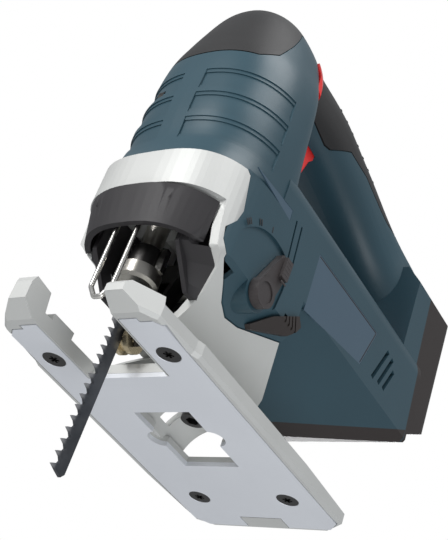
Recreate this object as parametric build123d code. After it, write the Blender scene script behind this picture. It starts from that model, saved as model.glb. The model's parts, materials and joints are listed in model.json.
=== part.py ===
"""Cordless jigsaw with a bow handle, built as it comes apart on a bench.

Frame: +X is the cutting direction, +Y the tool's left side, +Z up. The origin is on the sole's
underside, on the centre line, midway between the blade slot and the window. Millimetres.
"""
from build123d import *
from math import atan2, copysign, cos, pi, radians, sin, sqrt
import os

# ---- driving dimensions -------------------------------------------------------------------
BODY_HALF = 37.2            # half-width of the body and nose
NOSE_FRONT = 47.3           # front of the metal nose band
DECK_Z = 107.0              # top of the motor body, under the hand opening
BELLY_SLOPE = 0.565         # the belly rises to the rear by this much per millimetre
REAR_X = -154.0             # rear face, where the battery slides on
SKIN = 2.6                  # wall of the plastic shells
RUBBER = 1.6                # thickness of the soft covers
METAL = 3.2                 # wall of the gear housing
GAP = 0.3                   # space between bodies that move past each other
FIT = 0.05                  # radial running clearance of shafts

BASE_FRONT, BASE_REAR, BASE_HALF = 58.0, -104.0, 39.0
RAIL_Z = 6.0                # height of the base's edge rails
SOLE_T = 2.0                # sole insert plate
FLOOR_T = 4.4               # casting floor and insert plate together
SLOT_X, SLOT_HALF = 12.0, 18.3
WINDOW_X = (-52.5, -12.0)
WINDOW_HALF = 13.2
ARCH_R, ARCH_T = 19.0, 3.0  # arched saddle the base tilts on
ARCH_X = (-50.0, 6.0)
BOLT_X = -31.5              # bevel clamp bolt
FLANK = 9.2                 # the metal flanks follow z = |y| + FLANK

PLUNGER_X = 27.4
PLUNGER_R = 4.5
CRANK_R = 13.0              # half of the 26 mm stroke
GEAR_Z, GEAR_TEETH, PINION_TEETH = 100.0, 48, 8
MODULE = 1.0
MOTOR_Z = GEAR_Z - MODULE * (GEAR_TEETH + PINION_TEETH) / 2
MIDDLE_X = 6.0              # where the nose column is widest
REST_DROP = -3.0            # the yoke's centre below the gear's centre at rest
YOKE_X = (17.5, 22.5)
GEAR_X = (8.0, 15.0)

FORK_PIVOT = (8.0, 51.0)    # x, z of the roller fork's pin
ROLLER_AT = (19.4, 11.5)
ROLLER_R, ROLLER_GROOVE_R = 5.4, 4.0
SELECTOR_AT = (1.5, 44.5)  # x, z of the orbit selector's axis
RELEASE_AT = (43.9, 61.5)   # x, z of the blade release lever's hinge axis


# ---- small helpers ------------------------------------------------------------------------
def face_xy(points, z=0.0):
    return make_face(Polyline(*[(x, y, z) for x, y in points], close=True))


def prism_z(points, z0, z1):
    """A flat outline in plan, raised from z0 to z1."""
    return extrude(face_xy(points, z0), amount=z1 - z0, dir=(0, 0, 1))


def prism_y(points, y0, y1):
    """A side outline of (x, z) points, carried across from y0 to y1."""
    face = make_face(Polyline(*[(x, y0, z) for x, z in points], close=True))
    return extrude(face, amount=y1 - y0, dir=(0, 1, 0))


def prism_x(points, x0, x1):
    """A cross-section of (y, z) points, carried along from x0 to x1."""
    face = make_face(Polyline(*[(x0, y, z) for y, z in points], close=True))
    return extrude(face, amount=x1 - x0, dir=(1, 0, 0))


def block(x0, x1, y0, y1, z0, z1):
    return Pos((x0 + x1) / 2, (y0 + y1) / 2, (z0 + z1) / 2) * Box(x1 - x0, y1 - y0, z1 - z0)


def rod_x(x0, x1, y, z, r):
    return Pos((x0 + x1) / 2, y, z) * Rot(0, 90, 0) * Cylinder(r, x1 - x0)


def rod_y(x, y0, y1, z, r):
    return Pos(x, (y0 + y1) / 2, z) * Rot(90, 0, 0) * Cylinder(r, y1 - y0)


def rod_z(x, y, z0, z1, r):
    return Pos(x, y, (z0 + z1) / 2) * Cylinder(r, z1 - z0)


def largest(shape):
    return max(shape.solids(), key=lambda solid: solid.volume)


def mirrored(shape):
    return mirror(shape, about=Plane.XZ)


def both_sides(shape):
    return shape + mirrored(shape)


def oval(centre_a, centre_b, half_a, half_b, power, count=32):
    """Points of a superellipse: power 2 is an ellipse, more is squarer."""
    points = []
    for k in range(count):
        t = 2 * pi * (k + 0.5) / count
        a = half_a * copysign(abs(cos(t)) ** (2 / power), cos(t))
        b = half_b * copysign(abs(sin(t)) ** (2 / power), sin(t))
        points.append((centre_a + a, centre_b + b))
    return points


def ring_z(z, front, back, half, power):
    """A plan section whose widest line stays near x = MIDDLE_X, whatever its front and back."""
    middle = min(MIDDLE_X, (front + back) / 2 + 6)
    points = []
    for a, y in oval(0, 0, 1, half, power):
        points.append((middle + a * (front - middle if a > 0 else middle - back), y, z))
    return make_face(Spline(*points, periodic=True))


def ring_x(x, top, bottom, half, power):
    points = oval(0, (top + bottom) / 2, half, (top - bottom) / 2, power)
    return make_face(Spline(*[(x, y, z) for y, z in points], periodic=True))


def teeth(count, module, x0, x1, turn=0.0):
    """A spur gear along X with plain straight-flanked teeth and some backlash."""
    pitch = module * count / 2
    points = []
    for k in range(count):
        middle = radians(turn) + 2 * pi * k / count
        for radius, half in ((pitch - 1.15 * module, 0.95 * module), (pitch, 0.66 * module),
                             (pitch + 0.85 * module, 0.26 * module)):
            points.append((radius, middle - half / radius))
        for radius, half in ((pitch + 0.85 * module, 0.26 * module), (pitch, 0.66 * module),
                             (pitch - 1.15 * module, 0.95 * module)):
            points.append((radius, middle + half / radius))
    outline = [(r * sin(a), r * cos(a)) for r, a in points]
    return prism_x(outline, x0, x1)


# ---- outer form of the body ---------------------------------------------------------------
COLUMN = [  # z, front, back, half-width, squareness
    (74, 46.9, -22, 36.7, 2.8), (81.5, 46.8, -21, 36.8, 2.8), (88, 44.6, -19, 36.6, 2.7),
    (104, 43.8, -12, 36.4, 2.6), (125, 43.6, -8, 36.0, 2.5), (142, 43.0, -8, 34.6, 2.4),
    (153, 41.0, -12, 31.8, 2.3), (163, 38.4, -17, 28.2, 2.2), (173, 35.0, -22, 24.4, 2.2),
    (182, 30.4, -25, 19.6, 2.2), (189, 23.4, -26, 14.8, 2.1), (194.5, 14.0, -25, 10.2, 2.1),
    (198, 2.0, -19, 5.2, 2.0)]
HANDLE = [  # x, top, bottom, half-width, squareness
    (6, 190, 150, 19.0, 2.4), (-12, 192.5, 154, 17.8, 2.4), (-28, 191.6, 155.5, 17.4, 2.4),
    (-46, 189.4, 154.5, 18.0, 2.5), (-64, 186.6, 151, 17.6, 2.4), (-80, 182.6, 146.5, 17.8, 2.4),
    (-96, 177, 139, 18.6, 2.5), (-110, 169, 128, 22.5, 2.5), (-122, 160.5, 112, 28.5, 2.7),
    (-133, 153, 98, 33.5, 3.0)]
METAL_SIDE = [  # side outline of the metal gear housing where it shows
    (60, 65.2), (60, 81.5), (29.5, 83.2), (27.6, 81.6), (24.7, 66), (26.0, 60.4), (29.8, 54.6),
    (28.8, 49.5), (24.4, 43.8), (15, 39.5), (8, 35.9), (1, 34), (-7, 35), (-26.8, 41.5),
    (-46.2, 27.6), (-50, 22), (-50, 10), (13, 10), (15.5, 28), (18, 34.5), (23, 41), (30.2, 45.6),
    (31.6, 53), (33.1, 65.2)]
RUBBER_SIDE = [  # side outline of the soft covers on the nose and the handle
    (60, 141), (36, 143.5), (29, 149), (21, 163), (12, 181), (6, 187.5), (-10, 187.5),
    (-11.5, 166), (-20, 163), (-36, 160.5), (-40, 161), (-52, 170), (-70, 170.5), (-98, 163.5),
    (-106, 163), (-112, 168), (-112, 215), (60, 215)]
SCREWS = [  # x, z and how far out from the middle the head sits
    (-68, 99.5, 27), (-74, 42, 19), (-119, 78, 30), (-119, 133, 24), (-60, 163, 12),
    (38.3, 122, 14), (-4, 150, 22)]


def column(inset):
    """The upright nose and grip column, drawn in by the inset."""
    rings = [ring_z(z, front - inset, back + inset, half - inset, power)
             for z, front, back, half, power in COLUMN if half > inset + 2]
    return loft(rings)


def handle(inset):
    rings = [ring_x(x, top - inset, bottom + inset, half - inset, power)
             for x, top, bottom, half, power in HANDLE]
    return loft(rings)


def belly_z(x):
    """Height of the belly's middle line, rising to the rear."""
    return 23.4 - BELLY_SLOPE * (x + 67.0)


def motor_body(inset):
    """The lower body: flat sides, faceted below a crease, rounded along the deck."""
    half = BODY_HALF - inset
    top = DECK_Z - inset
    low = [(13.6, 21), (20, 33.3), (24.2, 41)]
    side = [(y - inset, z + inset * 0.55) for y, z in low] + [(half, 62 + inset * 0.2), (half, top)]
    body = prism_x(side + [(-y, z) for y, z in reversed(side)], -133 + inset, 6)
    body = fillet(body.edges().filter_by(Axis.X).group_by(Axis.Z)[-1], 12)
    low_rear = belly_z(-133) + inset
    profile = [(20, 140), (20, 34 + inset), (2, 31 + inset), (-30, 26 + inset),
               (-58, 23.5 + inset), (-72, belly_z(-72) + inset), (-133 + inset, low_rear),
               (-133 + inset, 140)]
    return body & prism_y(profile, -60, 60)


def rear_block(inset):
    """The rear post, whose back face carries the battery rails."""
    half, low = 35.5 - inset, belly_z(-131) + 4.5 + inset
    side = [(-113 - inset, 66), (-128, 60 + inset), (-131, low), (REAR_X + 2, low + 12.5),
            (REAR_X, low + 14.5), (REAR_X, 143 - inset), (REAR_X + 8, 148.6 - inset),
            (-136, 151.5 - inset), (-113 - inset, 148 - inset)]
    section = [(-half, 40), (half, 40), (half, 138 - inset), (24 - inset, 152 - inset),
               (-24 + inset, 152 - inset), (-half, 138 - inset)]
    body = prism_y(side, -half, half) & prism_x(section, REAR_X + inset, -113 - inset)
    return fillet(body.edges().filter_by(Axis.Z).group_by(Axis.X)[0], 6)


def nose_form(inset, front=NOSE_FRONT, flank=FLANK):
    """The nose below the column: rounded in front, with flanks that slope in to the seat."""
    half, count, middle = BODY_HALF - inset, 40, 5.0
    outline = []
    for k in range(count + 1):
        t = -pi / 2 + pi * k / count
        outline.append((middle + (front - inset - middle) * abs(cos(t)) ** (2 / 3),
                        half * copysign(abs(sin(t)) ** (2 / 3), sin(t))))
    outline += [(-52, half), (-52, -half)]
    rise = flank + inset * sqrt(2)
    side = [(8.3, 8.3 + rise), (half, half + rise), (half, 84)]
    section = side + [(-y, z) for y, z in reversed(side)]
    return prism_z(outline, 10, 84) & prism_x(section, -52, 60)


def metal_form(inset, front=NOSE_FRONT):
    """The right side of the nose: as wide as the body at its band, drawn in below it."""
    section = [(8.3, 17.5 + inset), (11 - inset * 0.3, 29 + inset * 1.2),
               (34.3 - inset, 52.3 + inset * 0.4), (BODY_HALF - inset, 66), (BODY_HALF - inset, 84)]
    section += [(-y, z) for y, z in reversed(section)]
    return nose_form(inset, front, 0) & prism_x(section, -52, 60)


def nose(inset):
    """The whole nose: the left side is fuller, because it carries the orbit dial."""
    left, right = block(-60, 70, 0, 60, 0, 90), block(-60, 70, -60, 0, 0, 90)
    return (nose_form(inset) & left) + (metal_form(inset) & right)


def dial_block(inset):
    """The part of the nose that the plastic shells cover, with the orbit dial."""
    return nose(inset) & block(-27, 29, -60, 60, 34, 84)


def plastic_form(inset):
    body = column(inset) + handle(inset) + motor_body(inset) + rear_block(inset)
    return body + dial_block(inset)


# ---- plastic shells and what is on them ---------------------------------------------------
def shifted(side, rise):
    """A side outline's prism, moved up or down to leave a shadow gap beside it."""
    return prism_y([(x, z + rise) for x, z in side], -60, 60)


def scallops():
    """Shallow finger grooves across the nose, with a plain band down its middle."""
    cuts = Part()
    for depth, half in ((0.45, 5.6), (0.9, 3.8)):
        bands = [block(17, 60, 5.5, 60, z - half, z + half) for z in (98.3, 112.0, 125.8)]
        cuts += (column(-1) - column(depth)) & (Part() + bands)
    return both_sides(cuts)


def screw_bosses():
    bosses = Part()
    for x, z, seat in SCREWS:
        bosses += rod_y(x, -BODY_HALF, BODY_HALF, z, 4.6)
    return bosses


def screw_holes():
    holes = Part()
    for x, z, seat in SCREWS:
        holes += rod_y(x, -50, 12, z, 1.8)
        holes += rod_y(x, -50, -seat, z, 3.8)
    return holes


def hull_parts():
    """The two plastic half shells, the soft covers, the belly strip and the battery foot."""
    outer, inner = plastic_form(0), plastic_form(SKIN)
    rubber_zone = prism_y(RUBBER_SIDE, -60, 60)
    rubber = (outer - plastic_form(RUBBER)) & rubber_zone
    nose_grip = rubber & block(-3, 70, -60, 60, 100, 230)
    handle_grip = rubber & block(-130, -3.2, -60, 60, 100, 230)
    metal_zone = prism_y(METAL_SIDE, -60, 60)
    shell = outer - inner - rubber - metal_zone
    shell -= nose(SKIN) & block(-12, 70, -60, 60, 0, 81.5)
    shell -= (outer - plastic_form(0.8)) & (shifted(RUBBER_SIDE, -0.6) + shifted(METAL_SIDE, 0.5))
    shell -= scallops()
    shell -= block(16, 70, -34.3, 34.3, 0, 81.5)
    foot_zone = prism_y([(-129.5, 152), (-127, 137.5), (-129.4, 92), (-131.5, 60), (-170, 60),
                         (-170, 160), (-129.5, 160)], -60, 60)
    shell -= foot_zone
    strip_zone = prism_y([(-131, belly_z(-131) + 6.5), (-60, belly_z(-60) + 6.5),
                          (-56, belly_z(-60) + 2), (-56, 10), (-131, 10)], -60, 60)
    strip = shell & strip_zone
    shell -= strip_zone
    bosses = (screw_bosses() & plastic_form(SKIN - 0.2)) - block(16, 36.3, -60, 60, 60, 160)
    x, z = SELECTOR_AT
    bosses += rod_y(x, 26, BODY_HALF - 1.0, z, 7.6)
    shell = shell + bosses - screw_holes()
    shell -= side_cuts()
    foot = outer & foot_zone
    foot = foot - (inner & block(-146, -100, -60, 60, 0, 146.5))
    return shell, nose_grip, handle_grip, strip, foot


def slot_cut(x0, z0, x1, z1, width, y0, y1):
    """A narrow straight slot in the side, from one point to the other."""
    length = sqrt((x1 - x0) ** 2 + (z1 - z0) ** 2)
    ux, uz = (x1 - x0) / length, (z1 - z0) / length
    px, pz = -uz * width / 2, ux * width / 2
    points = [(x0 + px, z0 + pz), (x1 + px, z1 + pz), (x1 - px, z1 - pz), (x0 - px, z0 - pz)]
    return prism_y(points, y0, y1)


VENTS = [(-99.5, 87.5, -91.4, 68.5), (-104.7, 86.7, -97.5, 69.4), (-108, 82.3, -102.6, 69.6)]
DIAL_GROOVES = [(-6.1, 86.8, -8.4, 69.4), (-10.5, 87.2, -12.7, 68.2)]
LABEL = [(-27.8, 86.9), (-86.5, 88.5), (-79.5, 67.1), (-29.1, 59.3)]
BADGE = [(27.2, 86.2), (-1.5, 88.3), (-1.8, 83.2)]


def side_cuts():
    """Vents, the dial's dish and grooves, and the recesses of the plates, on both sides."""
    cuts = Part()
    for vent in VENTS:
        cuts += slot_cut(*vent, 2.2, 30, 40)
    for groove in DIAL_GROOVES:
        cuts += slot_cut(*groove, 1.0, BODY_HALF - 0.9, 40)
    x, z = SELECTOR_AT
    cuts += prism_y(LABEL, BODY_HALF - 0.8, 40)
    cuts += prism_y(BADGE, BODY_HALF - 0.8, 40)
    cuts = both_sides(cuts)
    cuts += rod_y(x, BODY_HALF - 1.0, 45, z, 25.5) & prism_y(
        [(40, 30), (40, 80), (-11, 80), (-12, 56), (-9, 30)], 30, 45)
    cuts += rod_y(x, 20, 40, z, 3.8)
    cuts += block(-28, -18, 22, 40, 46.7, 49.5)
    for side in (1, -1):
        cuts += block(-11.5, -1.5, *sorted((side * 14, side * 40)), 159.5, 181.5)
    cuts += block(-39.2, -11.6, -8.4, 8.4, 130, 163)
    return cuts


def inlay(points):
    return prism_y(points, BODY_HALF - 0.7, BODY_HALF - 0.1)


def housing_screws():
    screws = Part()
    for x, z, seat in SCREWS:
        head = rod_y(x, -seat - 2.6, -seat, z, 3.6) - rod_y(x, -seat - 3, -seat - 1, z, 1.6)
        screws += head + rod_y(x, -seat, 11, z, 1.7)
    return screws


def battery_foot(foot):
    """Dark frame at the rear, open behind with undercut rails for the battery."""
    pocket = block(REAR_X - 1, -146, -24, 24, 50, 130)
    grooves = both_sides(block(-151.5, -147.5, 23.9, 28.5, 50, 130))
    return foot - pocket - grooves - block(-146.1, -140, -14, 14, 96, 126)


def battery_contacts():
    """Terminal block with its upright contact blades."""
    base = block(-146.5, -140.5, -13.5, 13.5, 96.5, 125.5)
    blades = [block(-152.5, -140.5, y - 0.4, y + 0.4, 100, 122) for y in (-9, -3, 3, 9)]
    for blade in blades:
        base -= blade
    return base, Part() + blades


# ---- metal gear housing -------------------------------------------------------------------
def gear_housing():
    wall = nose(0) - nose(METAL)
    shell = wall & prism_y(METAL_SIDE, -60, 60)
    floor = nose_form(METAL - 0.2) & block(2.4, 50, -60, 60, 64.8, 66.9)
    seat = prism_x([(-17, 26.2), (-8.3, 17.5), (8.3, 17.5), (17, 26.2), (17, 30), (-17, 30)],
                   ARCH_X[0], ARCH_X[1] + 4) & prism_y(METAL_SIDE, -60, 60)
    web = nose(0) & prism_y([(-26.8, 41.5), (-46.2, 27.6), (-50, 22), (-50, 17),
                                  (-46, 17), (-43, 26), (-24.4, 38.9)], -60, 60)
    body = shell + floor + seat + web
    body += rod_z(PLUNGER_X, 0, 66, 79, 9)
    body += block(33, 36, -13, 13, 66, 137)
    body += block(19, 36, -11, 11, 128, 137)
    body += rod_z(BOLT_X, 0, 20, 37, 7.5)
    body += both_sides(block(4.8, 14, 7.2, 10.5, 48.3, 66))
    body -= rod_x(ARCH_X[0] - 5, ARCH_X[1] + 9, 0, 0, ARCH_R + GAP)
    body -= rod_z(PLUNGER_X, 0, 60, 140, 6.5)
    body -= rod_z(BOLT_X, 0, 10, 40, 3.0)
    body -= block(7, 30, -6.9, 6.9, 10, 47)
    body -= rod_y(FORK_PIVOT[0], -12, 12, FORK_PIVOT[1], 2.0)
    body -= both_sides(rod_z(WIRE_X, WIRE_HALF, 60, 67, WIRE_R))
    return body


def plunger_bushes():
    bushes = Part()
    for z0, z1 in ((65, 79), (128.2, 137)):
        bushes += rod_z(PLUNGER_X, 0, z0, z1, 6.5) - rod_z(PLUNGER_X, 0, z0, z1, PLUNGER_R + FIT)
    return bushes


WIRE_X, WIRE_HALF, WIRE_R = 42.9, 5.1, 1.0


def wire_guard():
    """Bent wire in front of the blade, a narrow U with a pointed end."""
    path = FilletPolyline((WIRE_X, WIRE_HALF, 66.8), (WIRE_X, WIRE_HALF, 19.5),
                          (WIRE_X, 1.6, 14.6), (WIRE_X, -1.6, 14.6),
                          (WIRE_X, -WIRE_HALF, 19.5), (WIRE_X, -WIRE_HALF, 66.8), radius=1.6)
    return sweep(Plane(origin=(WIRE_X, WIRE_HALF, 66.8), z_dir=(0, 0, -1)) * Circle(WIRE_R), path)


def corner_panel(side):
    """Slanted dark panel from the metal's front edge in to the blade's well; side is 1 or -1."""
    edge = [(28.0, 15.5), (34.5, 18.0), (41.0, 23.0), (45.6, 30.2), (53.0, 31.6), (64.4, 33.0)]
    faces = []
    for z, x in edge:
        y = min(33.6, z - FLANK - 1.2) if side > 0 else min(31.6, z - 18.5)
        y = max(y, 20.6)
        plan = [(x, y), (x + 5.0, 20.4), (x + 3.0, 18.8), (x - 2.4, y - 1.4)]
        faces.append(face_xy([(px, side * py) for px, py in plan], z))
    panels = [loft([low, high], ruled=True) for low, high in zip(faces, faces[1:])]
    return Part() + panels


def front_liner():
    """Black plastic lining of the nose, with the slanted corner panels beside the blade."""
    walls = both_sides(block(4, 36, 18.8, 20.8, 30, 64.4))
    walls -= prism_y([(60, 20), (60, 46), (36.5, 45), (21, 30.5), (4, 30.5), (4, 20)], -60, 60)
    liner = corner_panel(1) + corner_panel(-1) + walls
    liner &= nose(METAL + 0.3) + block(10, 60, -31, 31, 28, 64.4)
    liner -= block(24, 60, -60, 60, 45.0, 70) - flap_form(3.0, 44, 66)
    liner -= block(4, 60, -60, 60, 20, 31)
    back = block(2.4, 4.6, -20.8, 20.8, 36, 64.4)
    back -= block(0, 10, -6.5, 6.5, 40, 57) + block(0, 10, 8, 11.8, 36.8, 39.5)
    x, z = SELECTOR_AT
    return liner + back - rod_y(x, -30, 30, z, 4.2)


# ---- blade drive --------------------------------------------------------------------------
def plunger_rod():
    rod = rod_z(PLUNGER_X, 0, 40, 150, PLUNGER_R)
    return rod - block(23.8, 31, -0.85, 0.85, 39, 50)


def yoke():
    """Slotted crosshead clamped to the plunger, driven by the gear's pin."""
    z = GEAR_Z + REST_DROP
    plate = block(YOKE_X[0], YOKE_X[1], -21, 21, z - 7, z + 7)
    plate -= block(YOKE_X[0] - 1, YOKE_X[1] + 1, -16.6, 16.6, z - 3.3, z + 3.3)
    clamp = block(YOKE_X[1], 32.2, -8, 8, z - 7, z + 7)
    return plate + clamp - rod_z(PLUNGER_X, 0, z - 8, z + 8, PLUNGER_R)


def blade_holder():
    """Lower collar that grips the blade's shank."""
    collar = rod_z(PLUNGER_X, 0, 31, 37.5, 8.75)
    collar = chamfer(collar.edges().group_by(Axis.Z)[0], 1.2)
    collar -= rod_z(PLUNGER_X, 0, 37, 38, PLUNGER_R)
    return collar - block(23.3, 31.6, -0.85, 0.85, 30, 38)


def holder_sleeve():
    sleeve = rod_z(PLUNGER_X, 0, 37.5, 47, 6.6) - rod_z(PLUNGER_X, 0, 37, 48, PLUNGER_R)
    return sleeve - rod_z(*EJECTOR_AT, 36, 50, 2.3)


EJECTOR_AT = (26.4, 7.4)


def ejector_pin():
    """Six-sided pin that pushes the released blade out."""
    pin = extrude(Pos(*EJECTOR_AT, 37.6) * RegularPolygon(2.25, 6), amount=10.4)
    return pin


BLADE_BACK, BLADE_GULLET, BLADE_TIP = 23.5, 27.9, 31.3


def blade():
    """Coarse wood blade with a T shank; the tooth spacing grows towards the tip."""
    points = [(BLADE_BACK, 30), (BLADE_BACK, -48.2), (BLADE_BACK + 1.5, -50)]
    points += [(BLADE_BACK + 4, -49.2)]
    z, pitch = -47.8, 4.9
    while z < 10:
        points.append((BLADE_TIP, z))
        points.append((BLADE_GULLET + 0.5, z + pitch * 0.30))
        points.append((BLADE_GULLET, z + pitch * 0.55))
        points.append((BLADE_GULLET + 1.1, z + pitch * 0.80))
        z += pitch
        pitch -= 0.085
    points += [(BLADE_TIP - 0.2, z), (BLADE_TIP - 0.2, 24), (30.6, 27.5), (30.6, 38), (32.2, 40.5),
               (32.2, 43.5), (30.6, 44.5), (30.6, 48), (24.2, 48), (24.2, 44.5), (22.6, 43.5),
               (22.6, 40.5), (24.2, 38), (24.2, 30)]
    plate = prism_y(points, -0.65, 0.65)
    plate &= block(0, 60, -2, 2, -60, 38) + block(24.2, 30.6, -2, 2, 37, 48)
    return plate


def drive_gear():
    """Large reduction gear with its counterweight boss and spokes."""
    gear = teeth(GEAR_TEETH, MODULE, *GEAR_X)
    gear = Pos(0, 0, GEAR_Z) * gear
    gear -= rod_x(GEAR_X[0] - 1, GEAR_X[1] + 1, 0, GEAR_Z, 4.0 + FIT)
    angle = atan2(REST_DROP, sqrt(CRANK_R ** 2 - REST_DROP ** 2))
    for k in (1, 2, 3, 4, 5):
        a = angle + k * pi / 3
        gear -= rod_x(GEAR_X[0] - 1, GEAR_X[1] + 1, CRANK_R * cos(a), GEAR_Z + CRANK_R * sin(a), 3.2)
    return gear - crank_pin(GEAR_X[0] - 1)


def crank_pin(x0=GEAR_X[0]):
    y = sqrt(CRANK_R ** 2 - REST_DROP ** 2)
    return rod_x(x0, YOKE_X[0] - 2 * GAP, y, GEAR_Z + REST_DROP, 3.0)


def gear_shaft():
    return rod_x(-3, 15.6, 0, GEAR_Z, 4.0) + rod_x(2.2, 7.7, 0, GEAR_Z, 6.0)


def bearing_plate():
    """Plate that carries the gear's shaft and the motor's front bearing."""
    plate = block(-3, 2, -24, 24, 60, 116)
    plate = fillet(plate.edges().filter_by(Axis.X), 6)
    return plate - rod_x(-4, 3, 0, GEAR_Z, 4.0) - rod_x(-4, 3, 0, MOTOR_Z, 8.0)


def motor_bearings():
    ring = [rod_x(x0, x0 + 5, 0, MOTOR_Z, 8.0) - rod_x(x0, x0 + 5, 0, MOTOR_Z, 2.5 + FIT)
            for x0 in (-3, -66)]
    return Part() + ring


def motor_shaft():
    """Steel shaft with the pinion cut on its front end."""
    pinion = Pos(0, 0, MOTOR_Z) * teeth(PINION_TEETH, MODULE, GEAR_X[0], GEAR_X[1], 180 / PINION_TEETH)
    return rod_x(-66, GEAR_X[0], 0, MOTOR_Z, 2.5) + pinion


def rotor_core():
    return rod_x(-52, -20, 0, MOTOR_Z, 11.4) - rod_x(-60, 0, 0, MOTOR_Z, 2.5)


def cooling_fan():
    """Radial fan on the motor shaft, behind the bearing plate."""
    fan = rod_x(-15, -13.4, 0, MOTOR_Z, 19) + rod_x(-15, -7, 0, MOTOR_Z, 5)
    for k in range(11):
        vane = block(-13.5, -7, -0.6, 0.6, 8, 18.5)
        fan += Pos(0, 0, MOTOR_Z) * Rot(360 * k / 11, 0, 0) * vane
    return fan - rod_x(-20, 0, 0, MOTOR_Z, 2.5)


def motor_stator():
    ring = rod_x(-52, -20, 0, MOTOR_Z, 22) - rod_x(-60, 0, 0, MOTOR_Z, 18.5)
    for k in range(6):
        pole = block(-52, -20, -2.4, 2.4, 12.2, 19)
        tip = block(-52, -20, -4.6, 4.6, 12.2, 13.6)
        ring += Pos(0, 0, MOTOR_Z) * Rot(60 * k, 0, 0) * (pole + tip)
    return ring - rod_x(-60, 0, 0, MOTOR_Z, 12.1)


def stator_windings():
    coils = Part()
    for k in range(6):
        coil = block(-54.5, -17.5, -5.4, 5.4, 14.2, 17.3) - block(-53, -19, -2.5, 2.5, 10, 20)
        coils += Pos(0, 0, MOTOR_Z) * Rot(60 * k, 0, 0) * coil
    return coils


def motor_end_cap():
    cap = rod_x(-67, -57, 0, MOTOR_Z, 22.5) - rod_x(-61, -50, 0, MOTOR_Z, 19)
    cap += rod_x(-57, -52.2, 0, MOTOR_Z, 22.5) - rod_x(-60, -50, 0, MOTOR_Z, 20)
    return cap - rod_x(-70, -50, 0, MOTOR_Z, 8.0)


def control_board():
    """Electronics module behind the motor, in its potted tray with cooling ribs."""
    tray = block(-112, -76, -24, 24, 66, 84)
    for k in range(7):
        tray -= block(-110.5 + 5 * k, -108 + 5 * k, -25, 25, 80, 85)
    return tray


def trigger_switch():
    body = block(-50, -14, -8.5, 8.5, 168.5, 182)
    return body + block(-44, -40.5, -8.5, 8.5, 160, 169)


# ---- blade guide, orbit selector, blower, blade release -----------------------------------
def roller_fork():
    """Rocking fork that carries the guide roller behind the blade."""
    arm = [(4.5, 52), (8, 54.8), (11.6, 52.5), (22.2, 12.5), (19.4, 8.5), (16.4, 11), (5.2, 47)]
    arms = prism_y(arm, 3.9, 5.9)
    arms = both_sides(arms) + (prism_y([(5, 46), (6, 54), (11, 54), (12.4, 44)], -4, 4))
    tail = prism_y([(6, 53), (6, 48), (-1.5, 48), (-1.5, 51)], -4, 4)
    body = arms + tail - rod_y(FORK_PIVOT[0], -9, 9, FORK_PIVOT[1], 2.0 + FIT)
    return body - rod_y(ROLLER_AT[0], -9, 9, ROLLER_AT[1], 1.5)


def guide_roller():
    """Hardened roller whose groove backs the blade."""
    half = 3.5
    profile = [(1.5 + FIT, -half), (ROLLER_R, -half), (ROLLER_R, -1.6), (ROLLER_GROOVE_R, -1.0),
               (ROLLER_GROOVE_R, 1.0), (ROLLER_R, 1.6), (ROLLER_R, half), (1.5 + FIT, half)]
    face = make_face(Polyline(*[(r, y, 0) for r, y in profile], close=True))
    return Pos(ROLLER_AT[0], 0, ROLLER_AT[1]) * revolve(face, axis=Axis.Y)


def orbit_lever():
    """Selector lever on the left side, pointing up at rest."""
    x, z = SELECTOR_AT
    hub = rod_y(x, BODY_HALF - 0.7, BODY_HALF + 3.4, z, 6.2)
    tip_x, tip_z = x - 6.9, z + 20.6
    arm = prism_y([(x - 5.6, z - 1), (tip_x - 4.2, tip_z - 1), (tip_x - 2.4, tip_z + 1.4),
                   (tip_x + 3.2, tip_z + 0.6), (tip_x + 4.4, tip_z - 2), (x + 5.6, z + 1.5)],
                  BODY_HALF - 0.7, BODY_HALF + 2.6)
    grip = slot_cut(tip_x + 0.2, tip_z - 9, tip_x, tip_z, 4.4, BODY_HALF + 2.5, BODY_HALF + 4.4)
    body = hub + arm + grip
    return body - rod_y(x, BODY_HALF + 2.9, BODY_HALF + 5, z, 4.4)


def orbit_cam_shaft():
    """Shaft from the lever to the fork, with the flat that sets the orbit."""
    x, z = SELECTOR_AT
    shaft = rod_y(x, 11.5, BODY_HALF - 0.7, z, 3.5) + rod_y(x, -4, 11.5, z, 3.0)
    return shaft - block(x - 4, x + 4, -4.1, 6, z + 1.2, z + 4)


def blower_slider():
    """Thumb slide that opens the air duct; it follows the body's side and flank."""
    zone = prism_y([(-7.6, 37.0), (-12, 43.4), (-25, 52.8), (-28.2, 49.6), (-24.6, 43), (-10, 36.2)],
                   26, 42)
    thumb = (nose_form(-2.0) - nose_form(-0.25)) & zone
    for k in range(4):
        x, z = -23.4 + 2.0 * k, 49.4 - 1.3 * k
        thumb -= slot_cut(x - 2.4, z - 4.8, x + 1.4, z + 3.0, 0.8, BODY_HALF + 1.2, BODY_HALF + 3)
    stem = block(-24.5, -21.5, 31.5, BODY_HALF + 0.6, 47.1, 49.1)
    return thumb + stem


def air_duct():
    """Duct that blows the fan's air at the cut."""
    duct = prism_y([(-11, 54.5), (-5.5, 54.5), (-5.5, 40.3), (2.2, 40.3), (2.2, 35.9), (-11, 35.9)],
                   7, 12.8)
    return duct - prism_y([(-9.8, 56), (-6.7, 56), (-6.7, 39.1), (3, 39.1), (3, 37.1), (-9.8, 37.1)],
                          8.2, 11.6)


FLAP_Z = (46.5, 63.4)       # lower and upper edge of the flap
FLAP_FRONT, FLAP_HALF = 49.6, 36.0


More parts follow.
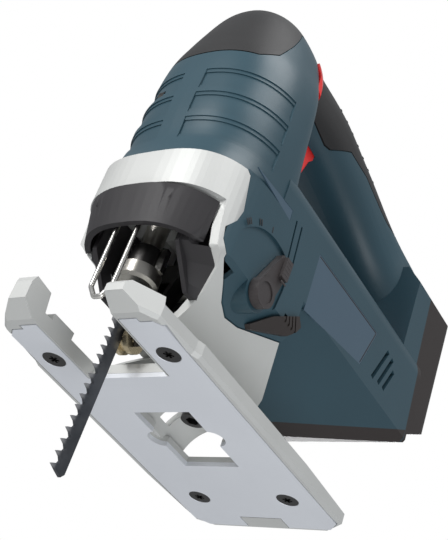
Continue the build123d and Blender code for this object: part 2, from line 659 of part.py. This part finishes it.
def flap_form(inset, z0=FLAP_Z[0], z1=FLAP_Z[1]):
    """The flap's outer form, drawn in towards its lower edge about one upright line."""
    middle, narrowing = 26.2, 0.111 / (FLAP_Z[1] - FLAP_Z[0])
    half, reach = FLAP_HALF - inset, FLAP_FRONT - inset - MIDDLE_X
    plan = [(MIDDLE_X + a * reach, y) for a, y in oval(0, 0, 1, half, 2.6, 64) if a > 0.2]
    plan = sorted(plan, key=lambda point: point[1])
    faces = []
    for z in (z0, z1):
        scale = 1 - narrowing * (FLAP_Z[1] - z)
        faces.append(face_xy([(middle + scale * (x - middle), scale * y) for x, y in plan], z))
    return loft(faces, ruled=True)


def release_lever():
    """Curved front flap that opens the blade clamp when it is swung forward."""
    outer = flap_form(0)
    flap = outer - flap_form(2.6, FLAP_Z[0] - 1, FLAP_Z[1] + 1)
    flap -= prism_y([(-60, 40), (30.5, 40), (34.6, 70), (-60, 70)], -60, 60)
    x, z = RELEASE_AT
    knuckle = both_sides(rod_y(x, 12.4, 18, z, 1.9) + block(x - 1.5, x + 2.2, 12.4, 18, z - 4, z))
    return flap + knuckle - both_sides(rod_y(x, 8, 19, z, 1.2 + FIT))


def lever_pins():
    """Pins on which the release lever swings, with the lugs that hold them."""
    x, z = RELEASE_AT
    return both_sides(rod_y(x, 8.4, 17.5, z, 1.2))


def lever_lugs():
    x, z = RELEASE_AT
    lug = block(x - 2.4, x + 0.9, 8.6, 12.0, z - 2, 64.8) - rod_y(x, 8, 13, z, 1.2)
    return both_sides(lug)


def trigger():
    """Finger trigger under the front of the handle."""
    side = [(-12, 162), (-38.8, 162), (-38.8, 154), (-37.6, 152.6), (-34, 139.5), (-29.5, 137),
            (-24.5, 139.4), (-18, 140.2), (-12, 144)]
    body = prism_y(side, -8, 8)
    finger = [e for e in body.edges() if e.center().Z < 152 and abs(e.center().Y) > 7.9]
    return fillet(finger, 1.5)


def lock_button():
    """Lock-on button that goes right through the handle."""
    bar = block(-9, -4, -17, 17, 162.5, 167.6)
    head = prism_y([(-10.8, 162), (-7.5, 160), (-3, 162), (-2.2, 171), (-4, 179.5), (-7.4, 181),
                    (-10.4, 176)], 15.5, 26.2)
    head = head & (plastic_form(-1.2))
    return bar + both_sides(head)


# ---- base ---------------------------------------------------------------------------------
SOLE_SCREWS = [(25, 27), (25, -27), (-79, 22), (-79, -22)]


def base_outline():
    half = BASE_HALF
    left = [(BASE_REAR, 31), (-100, 37), (-60, half), (22, half), (25, half - 1.2), (46, 36.4),
            (BASE_FRONT, 26.5), (BASE_FRONT, SLOT_HALF), (SLOT_X, SLOT_HALF)]
    return left + [(x, -y) for x, y in reversed(left)]


def sole_outline(grow):
    edge, front = 35.7 + grow, 44.8 + grow
    left = [(-95 - grow, 0), (-95 - grow, 10.5 - grow), (-103.2, 10.5 - grow), (-103.2, 30.6),
            (-98, edge), (41.5, edge), (front, 32.6), (front, 27 + grow), (47 + grow, 27 + grow),
            (47 + grow, SLOT_HALF + 1 - grow), (SLOT_X, SLOT_HALF + 1 - grow), (SLOT_X, 0)]
    return left + [(x, -y) for x, y in reversed(left[1:-1])]


def window_cut(z0, z1):
    cut = block(WINDOW_X[0], WINDOW_X[1], -WINDOW_HALF, WINDOW_HALF, z0, z1)
    cut += block(BOLT_X - 5.3, BOLT_X + 5.3, -13.2, 13.2, z0, z1)
    return cut + rod_z(BOLT_X, 12.9, z0, z1, 5.3) + rod_z(BOLT_X, -12.9, z0, z1, 5.3)


def sole_plate():
    plate = prism_z(sole_outline(0), 0, SOLE_T) - window_cut(-1, 5)
    plate -= block(SLOT_X - 0.1, 60, -SLOT_HALF - 1, SLOT_HALF + 1, -1, 5)
    for x, y in SOLE_SCREWS:
        plate -= Pos(x, y, 1.0) * Cone(5.0, 3.0, 2.02)
    return plate


def sole_screws():
    screws = Part()
    for x, y in SOLE_SCREWS:
        screw = Pos(x, y, 1.05) * Cone(4.75, 2.8, 1.9) + rod_z(x, y, 1.9, 4.2, 2.4)
        for k in range(3):
            screw -= Pos(x, y, 0.6) * Rot(0, 0, 60 * k) * Box(4.2, 1.0, 1.4)
        screws += screw
    return screws


def base_casting():
    plate = prism_z(base_outline(), 0, RAIL_Z)
    rim = [e for e in plate.edges().group_by(Axis.Z)[0] if abs(e.center().Y) > 20]
    plate = chamfer(rim, 1.4)
    plate -= prism_z([(-96, 33.4), (8, 34.5), (8, -34.5), (-96, -33.4)], FLOOR_T, 10)
    for k in range(5):
        x = -88 + 17 * k
        rib = both_sides(block(x, x + 2, 21, 35, FLOOR_T - 0.2, RAIL_Z))
        plate += rib
    low = prism_y([(45.5, 3), (46.5, 9), (56.5, 9.4), (BASE_FRONT, 7.5), (BASE_FRONT, 3)], 18.3, 40)
    high = prism_y([(45.5, 3), (47.5, 14), (56.5, 15), (BASE_FRONT, 12), (BASE_FRONT, 3)], -40, -18.3)
    step = block(29, 41.4, SLOT_HALF, 27, 4, 9)
    plate += ((low + high) & prism_z(base_outline(), 0, 20)) + both_sides(step)
    arch = rod_x(ARCH_X[0], ARCH_X[1] + 6, 0, 0, ARCH_R)
    arch -= rod_x(ARCH_X[0] - 1, ARCH_X[1] + 7, 0, 0, ARCH_R - ARCH_T)
    arch &= prism_y([(ARCH_X[0], 2), (ARCH_X[1] + 4.5, 2), (ARCH_X[1] + 4.5, 4.5),
                     (ARCH_X[0] + 48, 20), (ARCH_X[0], 20)], -30, 30)
    feet = both_sides(prism_x([(15.6, 2.2), (15.6, 10), (18.5, 5.1), (22, 3.6), (22, 2.2)],
                              ARCH_X[0], ARCH_X[1]))
    feet &= rod_x(-60, 20, 0, 0, 24) - rod_x(-60, 20, 0, 0, 16.0)
    plate -= window_cut(-1, 30) & rod_x(-60, 20, 0, 0, ARCH_R - ARCH_T)
    plate = plate + arch + feet
    plate -= block(BOLT_X - 3.6, BOLT_X + 3.6, -16.4, 16.4, 8, 25)
    plate -= window_cut(-1, 3.2)
    plate -= prism_z(sole_outline(0.45), -1, SOLE_T + 0.05)
    plate -= prism_y([(50, -1), (60, -1), (60, 5.5), (57.5, 4.2), (50.5, 0)], -50, 50)
    for x, y in SOLE_SCREWS:
        plate -= rod_z(x, y, 0, 4.25, 2.4)
    return plate


def clamp_bolt():
    bolt = rod_z(BOLT_X, 0, 13.0, 34, 3.0) + rod_z(BOLT_X, 0, 8.2, 13.0, 5.0)
    return bolt - extrude(Pos(BOLT_X, 0, 8.1) * RegularPolygon(2.9, 6), amount=3)


def clamp_washer():
    """Saddle washer, curved to the inside of the arch."""
    washer = block(BOLT_X - 6, BOLT_X + 6, -6, 6, 13.0, 16.5) & rod_x(-45, -20, 0, 0, 15.7)
    return washer - rod_z(BOLT_X, 0, 5, 30, 3.05)


# ---- write the pieces ---------------------------------------------------------------------
def main():
    os.makedirs("parts", exist_ok=True)
    shell, nose_grip, handle_grip, strip, foot = hull_parts()
    left_half, right_half = block(-200, 100, 0, 80, -60, 250), block(-200, 100, -80, 0, -60, 250)
    contact_base, contact_blades = battery_contacts()
    housing = gear_housing()
    parts = {
        "housing_left": largest(shell & left_half), "housing_right": largest(shell & right_half),
        "nose_grip": nose_grip, "handle_grip": handle_grip, "belly_strip": strip,
        "battery_foot": battery_foot(foot), "contact_block": contact_base,
        "contact_blades": contact_blades, "housing_screws": housing_screws(),
        "label_plate_left": inlay(LABEL), "label_plate_right": mirrored(inlay(LABEL)),
        "badge_plate_left": inlay(BADGE), "badge_plate_right": mirrored(inlay(BADGE)),
        "gear_housing": housing, "plunger_bushes": plunger_bushes(),
        "wire_guard": wire_guard(), "front_liner": largest(front_liner() - housing - shell), "air_duct": air_duct(),
        "bearing_plate": bearing_plate(), "gear_shaft": gear_shaft(),
        "motor_bearings": motor_bearings(), "motor_stator": motor_stator(),
        "stator_windings": stator_windings(), "motor_end_cap": motor_end_cap(),
        "control_board": control_board(), "trigger_switch": trigger_switch(),
        "fork_pin": rod_y(FORK_PIVOT[0], -10.4, 10.4, FORK_PIVOT[1], 2.0),
        "lever_pins": lever_pins(), "lever_lugs": lever_lugs(),
        "clamp_bolt": clamp_bolt(), "clamp_washer": clamp_washer(),
        "base_casting": base_casting(), "sole_plate": sole_plate(), "sole_screws": sole_screws(),
        "plunger_rod": plunger_rod(), "yoke": yoke(), "blade_holder": blade_holder(),
        "holder_sleeve": holder_sleeve(), "ejector_pin": ejector_pin(), "blade": blade(),
        "drive_gear": drive_gear(), "crank_pin": crank_pin(),
        "motor_shaft": motor_shaft(), "rotor_core": rotor_core(), "cooling_fan": cooling_fan(),
        "roller_fork": roller_fork(), "guide_roller": guide_roller(),
        "roller_axle": rod_y(ROLLER_AT[0], -5.9, 5.9, ROLLER_AT[1], 1.5),
        "orbit_lever": orbit_lever(), "orbit_cam_shaft": orbit_cam_shaft(),
        "blower_slider": blower_slider(), "release_lever": release_lever(),
        "trigger": trigger(), "lock_button": lock_button(),
    }
    for name, shape in parts.items():
        export_step(shape, f"parts/{name}.step")


main()
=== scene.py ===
# %% [markdown]
# # A cordless jigsaw, finished around its CAD frame
#
# The CAD model already holds every part of the saw in its true place. Blender adds what CAD leaves
# plain: the surface of each material, small moulded details, light and a camera. Everything is in
# metres, with the origin on the sole, +X in the cutting direction and +Z up.

# %% [markdown]
# ## The frame
#
# Each part is read from model.glb with its placement put into its mesh, and the record comes from
# model.json.

# %% Load the frame
import json
from math import atan2, cos, radians, sin

import bpy
from mathutils import Matrix, Vector


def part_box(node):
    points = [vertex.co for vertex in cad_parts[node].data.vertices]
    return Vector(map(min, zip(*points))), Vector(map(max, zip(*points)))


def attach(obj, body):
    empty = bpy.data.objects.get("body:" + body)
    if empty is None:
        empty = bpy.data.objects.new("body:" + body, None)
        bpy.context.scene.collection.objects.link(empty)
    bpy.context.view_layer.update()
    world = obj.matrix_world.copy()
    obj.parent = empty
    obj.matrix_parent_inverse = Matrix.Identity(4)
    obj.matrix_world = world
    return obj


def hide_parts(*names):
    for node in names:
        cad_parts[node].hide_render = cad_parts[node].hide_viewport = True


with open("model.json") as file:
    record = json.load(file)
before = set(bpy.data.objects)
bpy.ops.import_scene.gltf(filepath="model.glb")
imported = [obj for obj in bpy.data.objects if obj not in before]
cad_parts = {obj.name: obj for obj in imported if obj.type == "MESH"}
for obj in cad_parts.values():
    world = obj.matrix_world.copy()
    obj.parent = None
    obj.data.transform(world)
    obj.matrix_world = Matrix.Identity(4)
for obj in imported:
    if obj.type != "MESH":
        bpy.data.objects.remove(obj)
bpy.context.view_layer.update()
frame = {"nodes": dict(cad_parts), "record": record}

MM = 0.001
nodes = frame["nodes"]

# %% [markdown]
# ## Writing shaders as sums
#
# A material is a graph of nodes, and graphs get long when every sum is three lines of links. This
# small class wraps one socket. Adding or multiplying two of them adds the Math node between them,
# so a mask can be read like a formula.


# %% Socket arithmetic
class Value:
    """One output socket of a material, with arithmetic."""

    def __init__(self, tree, socket):
        self.tree, self.socket = tree, socket

    def _math(self, operation, first, second):
        node = self.tree.nodes.new("ShaderNodeMath")
        node.operation = operation
        for slot, value in zip(node.inputs, (first, second)):
            if isinstance(value, Value):
                self.tree.links.new(value.socket, slot)
            else:
                slot.default_value = value
        return Value(self.tree, node.outputs[0])

    def __add__(self, other):
        return self._math("ADD", self, other)

    def __mul__(self, other):
        return self._math("MULTIPLY", self, other)

    __radd__, __rmul__ = __add__, __mul__

    def fade(self, low, high):
        """0 below low, 1 above high, and smooth between."""
        node = self.tree.nodes.new("ShaderNodeMapRange")
        node.interpolation_type = "SMOOTHSTEP"
        self.tree.links.new(self.socket, node.inputs["Value"])
        node.inputs["From Min"].default_value = low
        node.inputs["From Max"].default_value = high
        return Value(self.tree, node.outputs[0])


class Finish:
    """A material in the making: its Principled shader and the nodes that feed it."""

    def __init__(self, name, color, roughness, metallic=0.0):
        self.material = bpy.data.materials.new(name)
        self.material.use_nodes = True
        self.tree = self.material.node_tree
        self.shader = self.tree.nodes["Principled BSDF"]
        self.shader.inputs["Base Color"].default_value = (*color, 1.0)
        self.shader.inputs["Roughness"].default_value = roughness
        self.shader.inputs["Metallic"].default_value = metallic
        self.place = self.node("ShaderNodeTexCoord", output="Object")
        self.height = None

    def node(self, kind, settings=None, inputs=None, output=0):
        """Adds a node, sets it up, fills its inputs and returns one output."""
        node = self.tree.nodes.new(kind)
        for key, value in (settings or {}).items():
            setattr(node, key, value)
        for key, value in (inputs or {}).items():
            if isinstance(value, Value):
                self.tree.links.new(value.socket, node.inputs[key])
            else:
                node.inputs[key].default_value = value
        return Value(self.tree, node.outputs[output])

    def along_x(self):
        """How far forward the point lies, in metres."""
        return self.node("ShaderNodeSeparateXYZ", inputs={0: self.place})

    def noise(self, scale, detail=2.0, stretch=None):
        """Cloudy noise, drawn out along the axes whose stretch is under 1."""
        vector = self.place
        if stretch:
            vector = self.node("ShaderNodeMapping", inputs={"Vector": self.place, "Scale": stretch})
        return self.node("ShaderNodeTexNoise", inputs={
            "Vector": vector, "Scale": scale, "Detail": detail})

    def mix(self, mask, first, second):
        """A colour that goes from the first to the second as the mask goes from 0 to 1."""
        colors = [c if isinstance(c, Value) else (*c[:3], 1.0) for c in (first, second)]
        return self.node("ShaderNodeMix", {"data_type": "RGBA"},
                         {0: mask, 6: colors[0], 7: colors[1]}, output=2)

    def feed(self, socket, value):
        self.tree.links.new(value.socket, self.shader.inputs[socket])

    def bump(self, height, distance, strength=1.0):
        """Adds a relief, in metres of height, under any relief that is already there."""
        inputs = {"Height": height, "Distance": distance, "Strength": strength}
        if self.height:
            inputs["Normal"] = self.height
        self.height = self.node("ShaderNodeBump", inputs=inputs)
        self.feed("Normal", self.height)


print("the classes Value and Finish are ready")

# %% [markdown]
# ## Moulded plastic
#
# The half shells come out of a spark-eroded mould, which leaves a fine even grain. The grain
# breaks the highlights up without changing the colour, so it goes in the bump and the roughness.
# The red switches are glossier, and the soft covers are dull with a trace of sheen.


# %% Moulded plastics
def moulded(name, color, roughness, grain=2600.0, depth=0.00005, tint=0.12):
    finish = Finish(name, color, roughness)
    fine = finish.noise(grain, 3.0)
    cloud = finish.noise(28.0, 3.0)
    lighter = [min(1.0, c * (1 + tint)) for c in color]
    darker = [c * (1 - tint) for c in color]
    finish.feed("Base Color", finish.mix(cloud, darker, lighter))
    finish.feed("Roughness", fine * 0.16 + (roughness - 0.08))
    finish.bump(fine, depth, 0.6)
    return finish


def soft_grip():
    finish = moulded("soft_grip", (0.015, 0.0145, 0.0150), 0.55, 1900.0, 0.00008, 0.10)
    finish.shader.inputs["Sheen Weight"].default_value = 0.04
    finish.shader.inputs["Sheen Roughness"].default_value = 0.5
    return finish.material


def red_plastic():
    finish = moulded("red_plastic", (0.86, 0.030, 0.026), 0.33, 1500.0, 0.00002, 0.05)
    finish.shader.inputs["Coat Weight"].default_value = 0.25
    return finish.material


print("plastics:", moulded.__name__, soft_grip.__name__, red_plastic.__name__)


# %% [markdown]
# ## Cast and machined metal
#
# The gear housing and the base are pressure castings, tumbled and bead-blasted, so they are a
# satin light grey with a very fine speckle. The sole insert is smoother. The turned parts carry
# fine lines round their axis, made here by a noise that is stretched along the turning direction.


# %% Metals
def casting():
    finish = Finish("cast_alloy", (0.62, 0.62, 0.60), 0.50, 0.30)
    speckle = finish.noise(2200.0, 4.0)
    cloud = finish.noise(35.0, 3.0)
    finish.feed("Base Color", finish.mix(cloud, (0.56, 0.565, 0.55), (0.66, 0.665, 0.645)))
    finish.feed("Roughness", speckle * 0.20 + 0.42)
    finish.bump(speckle, 0.00006, 0.5)
    return finish.material


def sole_sheet():
    finish = Finish("sole_sheet", (0.80, 0.82, 0.86), 0.40, 0.3)
    lines = finish.noise(420.0, 3.0, (0.06, 1.0, 1.0))
    rubbed = finish.noise(22.0, 4.0)
    finish.feed("Base Color", finish.mix(rubbed, (0.76, 0.78, 0.82), (0.84, 0.86, 0.90)))
    finish.feed("Roughness", lines * 0.20 + 0.32)
    finish.bump(lines, 0.00003, 0.4)
    return finish.material


def turned(name, color, roughness, stretch, depth=0.00003):
    finish = Finish(name, color, roughness, 1.0)
    lines = finish.noise(900.0, 3.0, stretch)
    worn = finish.noise(60.0, 4.0)
    dark = [c * 0.84 for c in color]
    finish.feed("Base Color", finish.mix(worn, dark, color))
    finish.feed("Roughness", lines * 0.22 + (roughness - 0.1))
    finish.bump(lines, depth, 0.5)
    return finish.material


print("metals:", casting.__name__, sole_sheet.__name__, turned.__name__)


# %% [markdown]
# ## The blade
#
# The blade is punched from carbon steel and blued. Its teeth are ground after that, so the edge
# shows brighter steel. The tooth line is at a known X, which makes the mask a plain threshold.

# %% Blade steel
GROUND_FROM, GROUND_FULL = 0.0286, 0.0304


def blade_steel():
    finish = Finish("blade_steel", (0.10, 0.105, 0.115), 0.36, 0.9)
    ground = finish.along_x().fade(GROUND_FROM, GROUND_FULL)
    scale = finish.noise(160.0, 5.0)
    blued = finish.mix(scale, (0.055, 0.060, 0.070), (0.14, 0.145, 0.155))
    finish.feed("Base Color", finish.mix(ground, blued, (0.34, 0.34, 0.35)))
    finish.feed("Roughness", scale * 0.25 + 0.25)
    finish.bump(finish.noise(1400.0, 3.0, (1.0, 1.0, 0.15)), 0.00003, 0.5)
    return finish.material


print("ground teeth start", GROUND_FROM / MM, "mm in front of the origin")

# %% [markdown]
# ## One finish for each kind of part
#
# The record says which slot each part takes its finish from. With one table from slot to material,
# every node is dressed by the same loop, and parts made of the same stuff always match.

# %% Every slot gets its finish
FINISHES = {
    "shell_plastic": moulded("shell_plastic", (0.029, 0.070, 0.093), 0.40).material,
    "soft_grip": soft_grip(),
    "red_plastic": red_plastic(),
    "cast_alloy": casting(),
    "sole_sheet": sole_sheet(),
    "machined_steel": turned("machined_steel", (0.50, 0.48, 0.44), 0.30, (1.0, 1.0, 0.08)),
    "dark_steel": turned("dark_steel", (0.085, 0.082, 0.080), 0.38, (1.0, 1.0, 0.2)),
    "blade_steel": blade_steel(),
    "wire_steel": turned("wire_steel", (0.78, 0.76, 0.72), 0.22, (0.3, 0.3, 1.0)),
    "black_plastic": moulded("black_plastic", (0.026, 0.024, 0.026), 0.60).material,
    "brown_plastic": moulded("brown_plastic", (0.030, 0.023, 0.021), 0.48).material,
    "lever_plastic": moulded("lever_plastic", (0.050, 0.043, 0.043), 0.42).material,
    "label_film": moulded("label_film", (0.062, 0.106, 0.148), 0.34, 1200.0, 0.00001, 0.04).material,
    "bush_bronze": turned("bush_bronze", (0.55, 0.38, 0.18), 0.45, (1.0, 1.0, 0.1)),
    "roller_steel": turned("roller_steel", (0.62, 0.52, 0.34), 0.28, (1.0, 0.1, 1.0)),
    "laminations": turned("laminations", (0.17, 0.17, 0.18), 0.42, (12.0, 1.0, 1.0), 0.0001),
    "windings": turned("windings", (0.66, 0.30, 0.12), 0.34, (0.2, 6.0, 6.0), 0.0002),
    "contact_metal": turned("contact_metal", (0.80, 0.63, 0.32), 0.28, (1.0, 1.0, 0.1)),
    "potting": moulded("potting", (0.030, 0.055, 0.048), 0.30).material,
}
for part in frame["record"]["subparts"]:
    node = nodes[part["node"]]
    node.data.materials.clear()
    node.data.materials.append(FINISHES[part["material_slot"]])
print("finishes:", ", ".join(sorted(FINISHES)))

# %% [markdown]
# ## Rounding off the flap and the gear housing
#
# Both are made in CAD from flat facets side by side, which show as stripes in the highlights. On
# the real saw they are smooth. Each gets a copy with its loose triangles merged, and the shallow
# edges between facets are shaded as one surface. The copy then stands for the CAD node. The angle
# stays small on the casting, where a larger one would round off its chamfers too.


# %% Smooth copies
def smooth_copy(node_name, name, body, widest_angle):
    """A copy of a CAD node whose edges shallower than the angle are shaded smooth."""
    bpy.ops.object.select_all(action="DESELECT")
    nodes[node_name].select_set(True)
    bpy.context.view_layer.objects.active = nodes[node_name]
    bpy.ops.object.duplicate()
    copy = bpy.context.object
    copy.name = name
    bpy.ops.object.mode_set(mode="EDIT")
    bpy.ops.mesh.select_all(action="SELECT")
    bpy.ops.mesh.remove_doubles(threshold=0.00001)
    bpy.ops.object.mode_set(mode="OBJECT")
    bpy.ops.object.shade_smooth_by_angle(angle=radians(widest_angle))
    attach(copy, body)
    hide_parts(node_name)
    return copy


flap = smooth_copy("release_lever", "release_flap", "release", 38)
casing = smooth_copy("gear_housing", "gear_casing", "housing", 20)
print("smooth copies:", len(flap.data.polygons), "and", len(casing.data.polygons), "faces")

# %% [markdown]
# ## Small mouldings and prints
#
# Strokes round the orbit dial, ridges on its lever and the printed line on the label plate are too
# fine for the CAD model. Each is a bar: a cube that is scaled and turned to its place, with its
# edges bevelled. One to three strokes stand for the dial's stops.


# %% Helpers for the small pieces
def settle(piece, name, body, slot):
    """Names a finished piece, puts its place in its mesh, and rides it on its body."""
    bpy.ops.object.select_all(action="DESELECT")
    piece.select_set(True)
    bpy.context.view_layer.objects.active = piece
    bpy.ops.object.transform_apply(location=True, rotation=True, scale=True)
    bpy.ops.object.mode_set(mode="EDIT")
    bpy.ops.mesh.select_all(action="SELECT")
    bpy.ops.mesh.normals_make_consistent(inside=False)
    bpy.ops.object.mode_set(mode="OBJECT")
    piece.name = name
    piece.data.materials.clear()
    piece.data.materials.append(FINISHES[slot])
    bpy.ops.object.shade_smooth_by_angle(angle=radians(40))
    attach(piece, body)
    return piece


def bar(start, end, y, width, height, edge=0.3):
    """A straight bevelled bar on the left side, from one (x, z) to another, in millimetres."""
    (x0, z0), (x1, z1) = start, end
    length = ((x1 - x0) ** 2 + (z1 - z0) ** 2) ** 0.5
    bpy.ops.object.select_all(action="DESELECT")
    bpy.ops.mesh.primitive_cube_add(size=1.0)
    piece = bpy.context.object
    piece.scale = (length * MM, height * MM, width * MM)
    piece.location = ((x0 + x1) / 2 * MM, y * MM, (z0 + z1) / 2 * MM)
    piece.rotation_euler = (0, -atan2(z1 - z0, x1 - x0), 0)
    bpy.ops.object.transform_apply(location=True, rotation=True, scale=True)
    bevel = piece.modifiers.new("soft_edge", "BEVEL")
    bevel.width, bevel.segments = edge * MM, 2
    bpy.ops.object.modifier_apply(modifier=bevel.name)
    return piece


def joined(pieces):
    bpy.ops.object.select_all(action="DESELECT")
    for piece in pieces:
        piece.select_set(True)
    bpy.context.view_layer.objects.active = pieces[0]
    bpy.ops.object.join()
    return pieces[0]


print("helpers:", settle.__name__, bar.__name__, joined.__name__)

# %% Strokes round the dial
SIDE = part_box("housing_left")[1][1] / MM   # millimetres, as all that goes to bar()
DIAL_AT = (1.5, 44.5)                      # x and z of the dial's centre
STROKE_NEAR, STROKE_FAR = 26.4, 29.0       # their distances from that centre
STROKE_STEP = 2.6                          # degrees between strokes of one stop
STOPS = ((3, 45), (2, 62), (1, 80))        # strokes and angle of each stop

marks = []
for count, angle in STOPS:
    for k in range(count):
        turn = radians(angle + STROKE_STEP * (k - (count - 1) / 2))
        ends = [(DIAL_AT[0] + r * cos(turn), DIAL_AT[1] + r * sin(turn))
                for r in (STROKE_NEAR, STROKE_FAR)]
        marks.append(bar(*ends, SIDE, width=0.6, height=0.16, edge=0.05))
settle(joined(marks), "dial_marks", "housing", "black_plastic")
print(len(marks), "strokes on the side at", round(SIDE, 1), "mm")

# %% Ridges of the lever
RIDGE_PITCH, RIDGE_HALF = 1.9, 1.8
lever_low, lever_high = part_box("orbit_lever")
tip_x, tip_z = lever_low[0] / MM + 4.3, lever_high[2] / MM - 6.7
ridges = [bar((tip_x - RIDGE_HALF, tip_z + RIDGE_PITCH * k), (tip_x + RIDGE_HALF, tip_z + RIDGE_PITCH * k),
              lever_high[1] / MM - 0.15, width=0.8, height=0.5, edge=0.2) for k in range(-3, 3)]
settle(joined(ridges), "lever_ridges", "selector", "lever_plastic")
print(len(ridges), "ridges on the lever")

# %% Line along the label's border
LABEL_CORNERS = ((-28.6, 86.2), (-85.4, 87.7), (-78.9, 67.9))   # x and z, top edge and rear edge
plate_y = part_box("label_plate_left")[1][1] / MM
lines = [bar(start, end, plate_y, width=0.55, height=0.12, edge=0.04)
         for start, end in zip(LABEL_CORNERS, LABEL_CORNERS[1:])]
settle(joined(lines), "label_line", "housing", "black_plastic")
print(len(lines), "lines on the label plate at", round(plate_y, 1), "mm")

# %% [markdown]
# ## Ridges on the grip's back
#
# The soft cover has chevron ridges where the palm rests. Each one is a narrow grid, bent to a V and
# dropped onto the cover with a Shrinkwrap modifier, so it follows the rounded back. Solidify then
# gives it its height, and Bevel its soft edges.

# %% Grip ridges
RIDGES, FIRST_RIDGE, RIDGE_GAP = 7, -46.0, 7.0   # how many, the first one's x, and the gap, in mm
RIDGE_WIDTH, RIDGE_SPAN, RIDGE_RISE = 1.5, 27.0, 0.7
ABOVE_GRIP = 210.0                               # higher than any point of the saw
CHEVRON = 0.45                                   # how far the V leans for each step sideways


def grip_ridge(x):
    """A V-shaped ridge across the grip's back, at x millimetres."""
    bpy.ops.object.select_all(action="DESELECT")
    bpy.ops.mesh.primitive_grid_add(x_subdivisions=3, y_subdivisions=29, size=1.0)
    piece = bpy.context.object
    piece.scale = (RIDGE_WIDTH * MM, RIDGE_SPAN * MM, 1.0)
    piece.location = (x * MM, 0.0, ABOVE_GRIP * MM)
    bpy.ops.object.transform_apply(location=True, rotation=True, scale=True)
    for vertex in piece.data.vertices:
        vertex.co.x += CHEVRON * abs(vertex.co.y)
    wrap = piece.modifiers.new("on_the_cover", "SHRINKWRAP")
    wrap.wrap_method, wrap.target = "PROJECT", nodes["handle_grip"]
    wrap.use_project_z, wrap.use_project_x, wrap.use_project_y = True, False, False
    wrap.use_negative_direction, wrap.use_positive_direction = True, False
    wrap.offset = 0.05 * MM
    bpy.ops.object.modifier_apply(modifier=wrap.name)
    wall = piece.modifiers.new("rise", "SOLIDIFY")
    wall.thickness, wall.offset = RIDGE_RISE * MM, 1.0
    bpy.ops.object.modifier_apply(modifier=wall.name)
    edge = piece.modifiers.new("soft_edge", "BEVEL")
    edge.width, edge.segments = 0.25 * MM, 2
    bpy.ops.object.modifier_apply(modifier=edge.name)
    return piece


grip_ridges = [grip_ridge(FIRST_RIDGE - RIDGE_GAP * k) for k in range(RIDGES)]
settle(joined(grip_ridges), "grip_ridges", "housing", "soft_grip")
print(len(grip_ridges), "ridges on the grip")

# %% [markdown]
# ## Floor and backdrop
#
# The saw is seen from below, so it hangs well above a pale floor, as if on a thin line in a studio.
# The backdrop is white where the camera looks at it, but lights the saw only softly: a Light Path
# node chooses between the two strengths.

# %% Floor and backdrop
FLOOR_Z = -0.95
FLOOR_SIZE = 8.0
bpy.ops.object.select_all(action="DESELECT")
bpy.ops.mesh.primitive_plane_add(size=FLOOR_SIZE, location=(0, 0, FLOOR_Z))
floor = bpy.context.object
floor.name = "floor"
paper = Finish("pale_paper", (0.86, 0.86, 0.86), 0.8)
paper.feed("Roughness", paper.noise(6.0) * 0.1 + 0.75)
floor.data.materials.append(paper.material)

world = bpy.data.worlds.new("studio")
bpy.context.scene.world = world
world.use_nodes = True
sky = world.node_tree
backdrop = sky.nodes["Background"]
backdrop.inputs["Color"].default_value = (1, 1, 1, 1)
glow = sky.nodes.new("ShaderNodeBackground")
glow.inputs["Color"].default_value = (0.93, 0.96, 1.0, 1)
glow.inputs["Strength"].default_value = 0.38
path = sky.nodes.new("ShaderNodeLightPath")
either = sky.nodes.new("ShaderNodeMixShader")
sky.links.new(path.outputs["Is Camera Ray"], either.inputs[0])
sky.links.new(glow.outputs[0], either.inputs[1])
sky.links.new(backdrop.outputs[0], either.inputs[2])
sky.links.new(either.outputs[0], sky.nodes["World Output"].inputs["Surface"])
bpy.context.scene.view_settings.view_transform = "Standard"
print("floor at", FLOOR_Z, "m")

# %% [markdown]
# ## Lights
#
# Four large round soft lights shape the saw: a key from the front, a broad one from above, a low
# fill that opens the shadows under the sole, and a rim light from behind on the right.

# %% Lights
CENTRE = (-0.03, 0.0, 0.07)   # the middle of the saw


def softbox(name, place, power, size, tint=(1, 1, 1)):
    data = bpy.data.lights.new(name, "AREA")
    data.shape, data.size, data.energy, data.color = "DISK", size, power, tint
    light = bpy.data.objects.new(name, data)
    bpy.context.collection.objects.link(light)
    light.location = place
    light.rotation_euler = (Vector(CENTRE) - Vector(place)).to_track_quat("-Z", "Y").to_euler()
    return light


softboxes = [
    softbox("key", (0.80, -0.10, 0.30), 5.5, 0.35),
    softbox("top", (0.10, 0.45, 0.85), 4.5, 0.6),
    softbox("fill", (0.10, 0.55, -0.55), 2.4, 0.6, (0.96, 0.98, 1.0)),
    softbox("rim", (-0.75, -0.5, 0.45), 3.5, 0.5),
]
print("lights:", ", ".join(light.name for light in softboxes))

# %% [markdown]
# ## Camera
#
# The camera looks up at the sole from low in front. Its attitude is given by two directions, to the
# right and down in the picture, and the third follows from them. The sensor is a plain 36 mm one.

# %% Camera
EYE = Vector((0.30965, 0.28972, -0.20754))
RIGHT = Vector((-0.47731, 0.82685, 0.29748))
DOWN = Vector((-0.61352, -0.07121, -0.78646))
camera_data = bpy.data.cameras.new("camera")
camera_data.sensor_width = 36.0
camera_data.lens = 82.536
camera = bpy.data.objects.new("camera", camera_data)
bpy.context.collection.objects.link(camera)
up, back = -DOWN, RIGHT.cross(-DOWN)
camera.matrix_world = Matrix.Translation(EYE) @ Matrix((RIGHT, up, back)).transposed().to_4x4()
bpy.context.scene.camera = camera
print("camera at", EYE[:])
